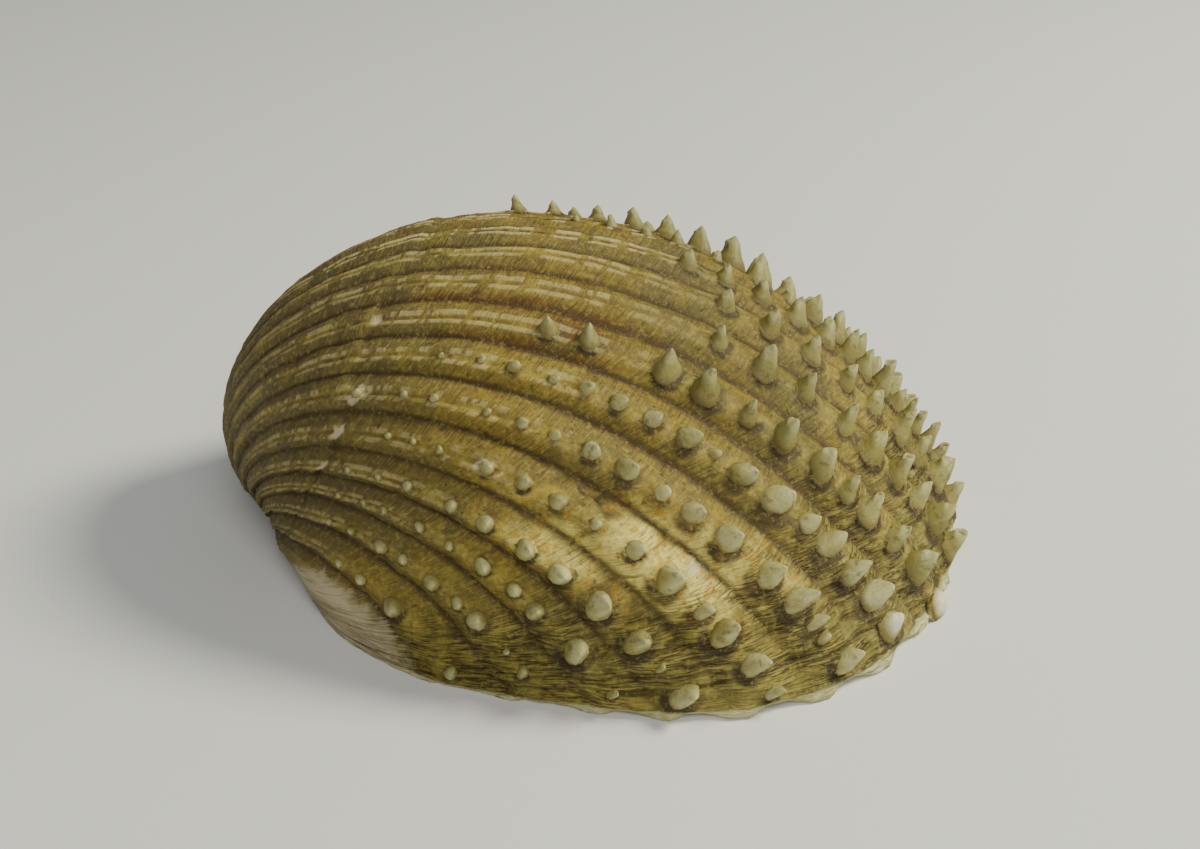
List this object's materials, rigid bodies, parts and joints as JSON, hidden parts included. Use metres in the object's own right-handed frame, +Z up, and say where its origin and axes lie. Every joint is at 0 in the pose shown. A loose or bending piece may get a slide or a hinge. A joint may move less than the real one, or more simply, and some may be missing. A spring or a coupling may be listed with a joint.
{
  "type": "spiny cockle shell",
  "caption": "Single valve of a spiny cockle, strongly domed, with radiating ribs that carry rows of blunt spines, lying hollow side down on its margin.",
  "frame": {"origin": "centre of the bounding box in plan, on the surface that the margin rests on", "axes": "+X from the beak to the ventral margin, +Y to the side with the longer spines, +Z up, out of the dome"},
  "size_m": [0.0756, 0.0696, 0.0307],
  "materials": {
    "shell": "matte"
  },
  "bodies": {
    "root": {"shell_valve": "shell"}
  },
  "joints": []
}
